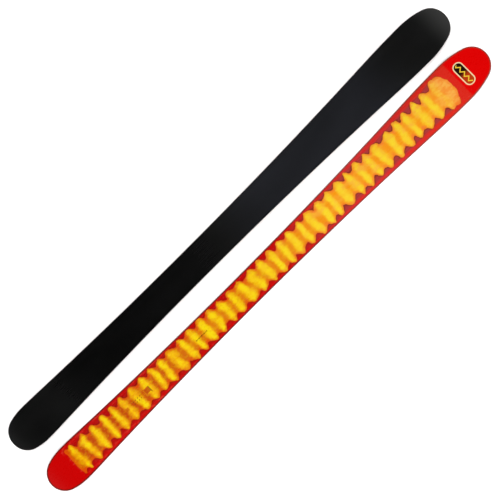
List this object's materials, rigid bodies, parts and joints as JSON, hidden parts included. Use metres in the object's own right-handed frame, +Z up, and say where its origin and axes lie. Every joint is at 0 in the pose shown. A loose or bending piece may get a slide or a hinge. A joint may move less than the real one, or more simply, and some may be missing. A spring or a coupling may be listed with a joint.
{
  "type": "pair of twin-tip alpine skis",
  "caption": "Pair of shaped alpine skis with raised tips and tails, laid side by side, one topsheet up and one turned base up, without bindings.",
  "frame": {"origin": "on the floor, midway between the two skis and midway between their tips and tails", "axes": "+X along the skis towards the tips, +Z up from the floor; the right ski, at -Y, is topsheet up, and the left ski, at +Y, is base up"},
  "size_m": [1.71, 0.2862, 0.0599],
  "materials": {
    "sintered_base": "black sintered polyethylene, stone ground, satin",
    "edge_steel": "hardened steel, ground and lightly polished",
    "edge_rubber": "thin vulcanised damping foil",
    "glass_laminate": "glass fibre and epoxy, dark cured resin at its cut rim",
    "aspen_wood": "pale straight-grained softwood stringers",
    "maple_wood": "denser hardwood stringers",
    "sidewall_plastic": "black moulded plastic, planed at an angle",
    "spacer_plastic": "black moulded plastic filler",
    "reinforcement_alloy": "rolled alloy sheet, bonded in",
    "printed_topsheet": "red nylon topsheet, printed from beneath with golden crinkle-cut ribs, clear gloss surface"
  },
  "bodies": {
    "right_ski": {"right_ski_base": "sintered_base", "right_ski_steel_edge_left": "edge_steel", "right_ski_steel_edge_right": "edge_steel", "right_ski_edge_rubber_left": "edge_rubber", "right_ski_edge_rubber_right": "edge_rubber", "right_ski_lower_laminate": "glass_laminate", "right_ski_core_aspen": "aspen_wood", "right_ski_core_maple": "maple_wood", "right_ski_sidewall_left": "sidewall_plastic", "right_ski_sidewall_right": "sidewall_plastic", "right_ski_tip_spacer": "spacer_plastic", "right_ski_tail_spacer": "spacer_plastic", "right_ski_binding_reinforcement": "reinforcement_alloy", "right_ski_upper_laminate": "glass_laminate", "right_ski_topsheet": "printed_topsheet"},
    "left_ski": {"left_ski_base": "sintered_base", "left_ski_steel_edge_left": "edge_steel", "left_ski_steel_edge_right": "edge_steel", "left_ski_edge_rubber_left": "edge_rubber", "left_ski_edge_rubber_right": "edge_rubber", "left_ski_lower_laminate": "glass_laminate", "left_ski_core_aspen": "aspen_wood", "left_ski_core_maple": "maple_wood", "left_ski_sidewall_left": "sidewall_plastic", "left_ski_sidewall_right": "sidewall_plastic", "left_ski_tip_spacer": "spacer_plastic", "left_ski_tail_spacer": "spacer_plastic", "left_ski_binding_reinforcement": "reinforcement_alloy", "left_ski_upper_laminate": "glass_laminate", "left_ski_topsheet": "printed_topsheet"}
  },
  "joints": [
    {"name": "left_ski_lift", "type": "slide", "parent": "right_ski", "child": "left_ski", "axis": [0, 0, 1], "range_m": [0, 0.3]}
  ]
}
